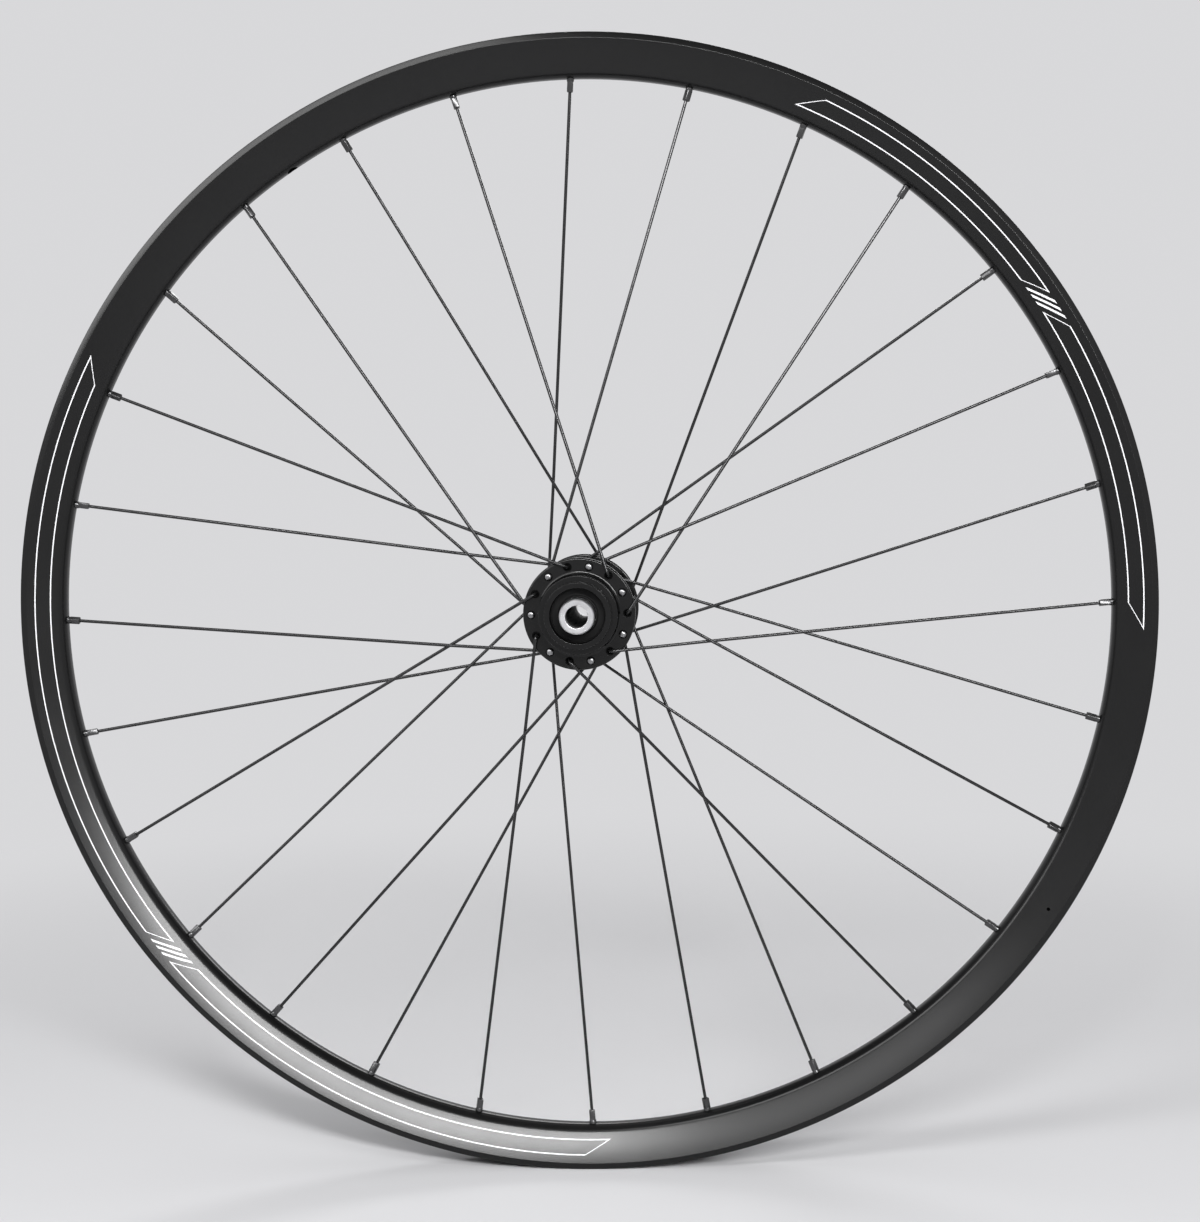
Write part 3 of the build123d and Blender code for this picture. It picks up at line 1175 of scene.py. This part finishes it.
@dataclass
class Hub:
    """Turned shell with two drilled flanges, a splined brake boss and its seals.

    Sizes are in millimetres and turns in degrees. spline_chamfer and seat_relief go inwards and then along.
    """

    left_flange: float = SHARED.left_flange
    right_flange: float = SHARED.right_flange
    flange_radius: float = 31.0
    flange_thickness: float = SHARED.flange_thickness
    circle_radius: float = SHARED.circle_radius
    spoke_count: int = SHARED.spoke_count
    hole: float = 2.5
    countersink: float = 4.8
    sink_slope: float = 27.5
    throat: float = 0.2
    overlap: float = 0.3
    hole_sides: int = 24
    barrel_radius: float = 16.5
    shoulder_radius: float = 21.6
    seat_offset: float = 37.0
    spline_radius: float = 18.9
    spline_root: float = 18.3
    spline_length: float = 5.5
    teeth: int = 54
    tooth_steps: int = 4
    tooth_share: float = 0.5
    near: float = 0.1
    spline_chamfer: Point = (0.2, 0.5)
    seat_relief: Point = (0.5, 0.3)
    relief_round: float = 0.2
    mouth_round: float = 0.3
    shoulder_round: float = 0.45
    foot_round: float = 2.2
    flange_round: float = 1.2
    barrel_round: float = 4.0
    boss_round: float = 0.6
    smooth_angle: float = 17.0
    lockring_radius: float = 15.2
    lockring_depth: float = 8.5
    thread_start: float = 1.6
    thread_plain: float = 2.5
    thread_pitch: float = 1.0
    thread_depth: float = 0.35
    right_boss_radius: float = 17.5
    right_boss_end: float = 42.2
    bearing_radius: float = 14.0
    inside_radius: float = 12.2
    left_bearing: float = 26.5
    right_bearing: float = 33.2
    cap_radius: float = SHARED.cap_radius
    seal_thickness: float = 1.4
    seal_fit: float = 0.02
    seal_inset: float = 0.6
    cap_gap: float = 0.3
    lip_height: float = 0.25
    lip_width: float = 0.7
    lip_foot: float = 1.3
    dish: float = 0.5
    edge_width: float = 0.5
    edge_foot: float = 0.9
    edge_round: float = 0.15
    lip_round: float = 0.2
    dish_round: float = 0.3
    back_round: float = 0.1
    seal_steps: int = 96

    def outline(self) -> list[Point]:
        """Lays out the shell's section, from the mouth of the lock ring's thread round to it again.

        Returns:
            Radius and y of the points.
        """
        half = self.flange_thickness / 2
        left_face = -self.left_flange - half
        left_root = -self.left_flange + half
        right_root = self.right_flange - half
        right_face = self.right_flange + half
        end = -self.seat_offset - self.spline_length
        seat = end + self.lockring_depth
        chamfer_in, chamfer_along = self.spline_chamfer
        relief_in, relief_along = self.seat_relief
        corners: list[Corner] = [
            (self.lockring_radius, end, self.mouth_round),
            (self.spline_root - chamfer_in, end, self.mouth_round),
            (self.spline_root, end + chamfer_along, 0),
            (self.spline_root, -self.seat_offset - relief_along, 0),
            (self.spline_root - relief_in, -self.seat_offset, self.relief_round),
            (self.shoulder_radius, -self.seat_offset, self.shoulder_round),
            (self.shoulder_radius, left_face, self.foot_round),
            (self.flange_radius, left_face, self.flange_round),
            (self.flange_radius, left_root, self.flange_round),
            (self.barrel_radius, left_root, self.barrel_round),
            (self.barrel_radius, right_root, self.barrel_round),
            (self.flange_radius, right_root, self.flange_round),
            (self.flange_radius, right_face, self.flange_round),
            (self.right_boss_radius, right_face, self.foot_round),
            (self.right_boss_radius, self.right_boss_end, self.boss_round),
            (self.bearing_radius, self.right_boss_end, self.mouth_round),
            (self.bearing_radius, self.right_bearing, 0),
            (self.inside_radius, self.right_bearing, 0),
            (self.inside_radius, -self.left_bearing, 0),
            (self.bearing_radius, -self.left_bearing, 0),
            (self.bearing_radius, seat, 0),
            (self.lockring_radius, seat, 0),
        ]
        start = seat - self.thread_start
        turns = int((self.lockring_depth - self.thread_plain) / self.thread_pitch)
        for turn in range(turns):
            y = start - turn * self.thread_pitch
            groove = self.lockring_radius + self.thread_depth
            corners += [(self.lockring_radius, y, 0), (groove, y - self.thread_pitch / 2, 0)]
        corners.append((self.lockring_radius, start - turns * self.thread_pitch, 0))
        return rounded(corners)

    def build(self) -> bpy.types.Object:
        """Models the shell.

        Returns:
            The finished shell.
        """
        shell = Bench.turned("hub_body", self.outline(), self.tooth_steps * self.teeth)
        start = -self.seat_offset - self.spline_length + self.spline_chamfer[1]

        def on_tooth(middle: Vector, normal: Vector) -> bool:
            """Tells whether a face belongs to a tooth of the spline.

            Args:
                middle: Middle of the face.
                normal: Its normal.

            Returns:
                True on a tooth.
            """
            height = hypot(middle.x, middle.z) - self.spline_root
            on_boss = abs(height) < self.near and start < middle.y < -self.seat_offset
            share = degrees(atan2(middle.x, middle.z)) % 360 * self.teeth / 360
            return on_boss and abs(normal.y) < self.near and share % 1 < self.tooth_share

        Bench.pick(shell, on_tooth)
        Bench.push(Vector())
        grow = self.spline_radius / self.spline_root
        bpy.ops.transform.resize(value=(grow, 1, grow), center_override=(0, 0, 0))
        Bench.clear()
        Bench.cut(shell, self.spoke_holes())
        Bench.smooth(shell, self.smooth_angle)
        return shell

    def spoke_holes(self) -> bpy.types.Object:
        """Models the countersunk cutters of every spoke hole as one object.

        Returns:
            The joined cutters.
        """
        pitch = 360 / self.spoke_count
        half = self.flange_thickness / 2
        small, large = self.hole / 2, self.countersink / 2
        slope = tan(radians(self.sink_slope))
        throat = small + self.throat
        floor = half - (large - throat) * slope
        mouth = [
            (half + self.overlap, large + self.overlap / slope),
            (floor, throat),
            (floor - 2 * self.throat, small),
        ]
        rings = [*((-height, radius) for height, radius in mouth), *reversed(mouth)]
        rows = []
        for y, first in ((-self.left_flange, 1), (self.right_flange, 0)):
            middle = on_wheel(self.circle_radius, 0, y)
            cutter = Bench.rod("spoke_hole_cutter", middle, Vector((0, 1, 0)), rings, self.hole_sides)
            Bench.close(cutter)
            angles = [index * pitch for index in range(first, self.spoke_count, 2)]
            rows.append(Bench.around(cutter, angles))
        return Bench.join(rows, "spoke_holes")

    def build_seal(self, side: Side) -> bpy.types.Object:
        """Models the dust seal of one side, with a raised lip round the end cap.

        Args:
            side: Side of the wheel that it is on.

        Returns:
            The finished seal.
        """
        if side is Side.LEFT:
            start = self.seat_offset + self.spline_length - self.lockring_depth
            outer = self.lockring_radius - self.seal_fit
        else:
            start = self.right_boss_end - self.seal_thickness - self.seal_inset
            outer = self.bearing_radius - self.seal_fit
        inner = self.cap_radius + self.cap_gap
        face = start + self.seal_thickness
        corners = [
            (inner, start, self.edge_round),
            (inner, face + self.lip_height, self.edge_round),
            (inner + self.lip_width, face + self.lip_height, self.lip_round),
            (inner + self.lip_foot, face - self.dish, self.dish_round),
            (outer - self.edge_foot, face - self.dish, self.dish_round),
            (outer - self.edge_width, face, self.edge_round),
            (outer, face, self.edge_round),
            (outer, start, self.back_round),
        ]
        points = [(radius, side.value * y) for radius, y in rounded(corners)]
        seal = Bench.turned(f"{side.name.lower()}_seal", points, self.seal_steps)
        Bench.smooth(seal)
        return seal

    def dress(self, shell: bpy.types.Object, seals: dict[Side, bpy.types.Object]) -> None:
        """Finishes the shell and the seals and joins them to the frame.

        Args:
            shell: The shell.
            seals: The seal of each side.
        """
        paint_piece(shell, HUB_BLACK)
        place_piece(shell, "wheel", ["hub_shell"])
        for side, seal in seals.items():
            paint_piece(seal, SEAL_RUBBER)
            place_piece(seal, "wheel", [f"{side.name.lower()}_dust_seal"])


@dataclass
class AxleSet:
    """End caps that the fork clamps, and the plain inner pieces between them.

    Sizes are in millimetres and turns in degrees.
    """

    hub_end: float = 50.0
    bore_radius: float = 6.05
    cap_radius: float = SHARED.cap_radius
    slip_radius: float = 7.53
    step_offset: float = 43.1
    left_race: float = 33.5
    right_race: float = 40.2
    chamfer: float = 0.6
    mouth_round: float = 0.35
    chamfer_round: float = 0.15
    inner_round: float = 0.2
    groove_depth: float = 0.45
    patches: int = 8
    patch_steps: int = 12
    grooves: int = 3
    facing: float = 0.99
    near: float = 0.05
    smooth_angle: float = 30.0

    def build_cap(self, side: Side) -> bpy.types.Object:
        """Models one end cap with patches of grooves across its face.

        Args:
            side: Side of the wheel that it is on.

        Returns:
            The finished cap.
        """
        race = self.left_race if side is Side.LEFT else self.right_race
        corners = [
            (self.bore_radius, self.hub_end, self.mouth_round),
            (self.cap_radius - self.chamfer, self.hub_end, 0),
            (self.cap_radius, self.hub_end - self.chamfer, self.chamfer_round),
            (self.cap_radius, race, self.inner_round),
            (self.slip_radius, race, self.inner_round),
            (self.slip_radius, self.step_offset, 0),
            (self.bore_radius, self.step_offset, self.inner_round),
        ]
        points = [(radius, side.value * y) for radius, y in rounded(corners)]
        cap = Bench.turned(f"{side.name.lower()}_cap", points, self.patches * self.patch_steps)

        def in_groove(middle: Vector, normal: Vector) -> bool:
            """Tells whether a face of the end is in a groove.

            Args:
                middle: Middle of the face.
                normal: Its normal.

            Returns:
                True in a groove.
            """
            turn = degrees(atan2(middle.x, middle.z)) % 360 * self.patches / 360
            step = int(turn % 1 * self.patch_steps)
            outwards = normal.y * side.value > self.facing
            on_end = outwards and abs(middle.y) > self.hub_end - self.near
            return on_end and step % 2 == 0 and step < 2 * self.grooves

        Bench.pick(cap, in_groove)
        Bench.push(Vector((0, -side.value * self.groove_depth, 0)))
        Bench.clear()
        Bench.smooth(cap, self.smooth_angle)
        return cap

    def dress(self, caps: dict[Side, bpy.types.Object]) -> None:
        """Finishes the caps and the inner pieces that stay as they are.

        Args:
            caps: The cap of each side.
        """
        for side, cap in caps.items():
            paint_piece(cap, CAP_SILVER)
            place_piece(cap, "axle", [f"{side.name.lower()}_end_cap"])
        # The axle tube takes the painted shade that darkens the inside of the bore.
        inner = {"axle_tube": AXLE_PAINTED_SHADE}
        for side in Side:
            for ring in ("inner_race", "ball_ring", "outer_race"):
                inner[f"{side.name.lower()}_bearing_{ring}"] = BEARING_STEEL
        for name, finish in inner.items():
            paint_piece(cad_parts[name], finish)
            LOG.info("%s keeps its solid", name)


@dataclass(frozen=True)
class Lamp:
    """Soft lamp that faces the wheel, in metres and watts."""

    name: str
    place: Corner
    width: float
    height: float
    power: float
    roll: float = 0.0

    def hang(self) -> None:
        """Hangs the lamp."""
        Bench.clear()
        turn = Vector(self.place).to_track_quat("Z", "Y") @ Quaternion((0, 0, 1), radians(self.roll))
        bpy.ops.object.light_add(type="AREA", location=self.place, rotation=turn.to_euler())
        lamp = bpy.context.active_object
        lamp.name = self.name
        lamp.data.shape = "RECTANGLE"
        lamp.data.size = self.width
        lamp.data.size_y = self.height
        lamp.data.energy = self.power
        lamp.visible_camera = False


@dataclass
class Studio:
    """Pale floor, soft light and the camera at the photograph's place.

    The floor's height and the camera's place are in millimetres and turns in degrees. The rest of the
    floor and clip_start are in metres, and the focal length and the image's height are in pixels.
    """

    floor_z: float = -SHARED.lip_radius
    pale: float = 0.67
    backdrop: float = 0.69
    floor_radius: float = 9.0
    floor_sides: int = 96
    floor_edge: float = 3.0
    floor_fade: Point = (0.4, 1.2)
    sky_fade: Point = (0.4, 0.75)
    sky_drop: float = 0.8
    soft: float = 0.25
    focal: float = 1790.0
    image_height: float = 1222.0
    distance: float = 1009.0
    tilt: float = 3.88
    turn: float = -2.94
    roll: float = -1.0
    aside: float = -10.1
    above: float = 0.1
    clip_start: float = 0.01
    lamps: tuple[Lamp, ...] = (
        Lamp("key_light", (0.4, -1.75, 0.79), width=1.4, height=0.22, power=41.0, roll=-28.0),
        Lamp("fill_light", (-0.5, -1.75, 0.87), width=1.0, height=0.3, power=4.5, roll=30.0),
        Lamp("left_light", (-1.15, -1.23, 1.28), width=2.0, height=0.45, power=20.0, roll=42.0),
        Lamp("back_light", (0.4, 1.75, 1.0), width=1.4, height=0.42, power=13.0, roll=25.0),
        Lamp("top_light", (0.0, 0.3, 1.9), width=1.6, height=1.6, power=4.0),
    )

    def build(self) -> None:
        """Sets up the whole studio."""
        self.lay_floor()
        self.light_world()
        for lamp in self.lamps:
            lamp.hang()
        self.place_camera()
        bpy.context.scene.view_settings.view_transform = "Standard"

    def lay_floor(self) -> None:
        """Lays a pale floor that fades into the background far from the wheel."""
        Bench.clear()
        bpy.ops.mesh.primitive_circle_add(
            vertices=self.floor_sides,
            radius=self.floor_radius,
            fill_type="NGON",
            location=(0, 0, self.floor_z * MM),
        )
        floor = bpy.context.active_object
        floor.name = "floor"
        bpy.ops.object.transform_apply(location=True, rotation=True, scale=True)
        Bench.edit(floor)
        bpy.ops.mesh.select_all(action="SELECT")
        bpy.ops.mesh.inset(thickness=self.floor_edge)
        Bench.clear()
        tree = Tree(bpy.data.materials.new("pale_floor"))
        matt = tree.dress(Base_Color=grey(self.pale), Roughness=1.0, Specular_IOR_Level=0.0)
        floor.data.materials.append(matt)
        whole = tree.node("ShaderNodeTexCoord", {}, {}).outputs["Object"]
        length = tree.node("ShaderNodeVectorMath", {"operation": "LENGTH"}, {0: whole})
        far = Value(tree, length.outputs["Value"]).ramp(*self.floor_fade)
        glow = tree.node("ShaderNodeEmission", {}, {"Color": grey(self.backdrop), "Strength": 1.0})
        lit = tree.nodes["Principled BSDF"]
        blend = tree.node("ShaderNodeMixShader", {}, {0: far, 1: lit.outputs[0], 2: glow.outputs[0]})
        tree.feed(tree.nodes["Material Output"].inputs["Surface"], blend.outputs[0])

    def light_world(self) -> None:
        """Makes the world pale to the camera and in reflections, and a soft light elsewhere."""
        world = bpy.data.worlds.new("pale_world")
        bpy.context.scene.world = world
        tree = Tree(world)
        whole = tree.node("ShaderNodeTexCoord", {}, {}).outputs["Generated"]
        height = Value(tree, tree.node("ShaderNodeSeparateXYZ", {}, {0: whole}).outputs["Z"])
        fade = 1.0 - height.ramp(*self.sky_fade) * self.sky_drop
        shown = tree.node("ShaderNodeBackground", {}, {"Color": grey(self.backdrop), "Strength": fade})
        soft = tree.node("ShaderNodeBackground", {}, {"Color": grey(self.pale), "Strength": self.soft})
        path = tree.node("ShaderNodeLightPath", {}, {}).outputs
        rays = [Value(tree, path[f"Is {kind} Ray"]) for kind in ("Camera", "Glossy", "Transmission")]
        seen = rays[0] + rays[1] + rays[2]
        blend = tree.node("ShaderNodeMixShader", {}, {0: seen, 1: soft.outputs[0], 2: shown.outputs[0]})
        tree.feed(tree.nodes["World Output"].inputs["Surface"], blend.outputs[0])

    def place_camera(self) -> None:
        """Places the camera at the photograph's viewpoint."""
        Bench.clear()
        view = (
            Matrix.Rotation(radians(self.turn), 3, "Z")
            @ Matrix.Rotation(radians(self.tilt), 3, "X")
            @ Matrix.Rotation(radians(self.roll), 3, "Y")
        )
        right, forward, up = view
        place = -(view.transposed() @ Vector((self.aside, self.distance, self.above))) * MM
        bpy.ops.object.camera_add(location=place)
        camera = bpy.context.active_object
        turn = Matrix((right, up, -forward)).transposed().to_4x4()
        camera.matrix_world = Matrix.Translation(place) @ turn
        camera.data.lens = self.focal * camera.data.sensor_width / self.image_height
        camera.data.clip_start = self.clip_start
        bpy.context.scene.camera = camera


def main() -> None:
    """Builds and dresses each sub-assembly, then the studio."""
    logging.basicConfig(level=logging.INFO, format="%(name)s: %(message)s")
    rim = Rim()
    rim.dress(rim.build())
    lacing = Lacing()
    lacing.dress(lacing.build())
    hub = Hub()
    hub.dress(hub.build(), {side: hub.build_seal(side) for side in Side})
    axle = AxleSet()
    axle.dress({side: axle.build_cap(side) for side in Side})
    Studio().build()


if __name__ == "__main__":
    main()
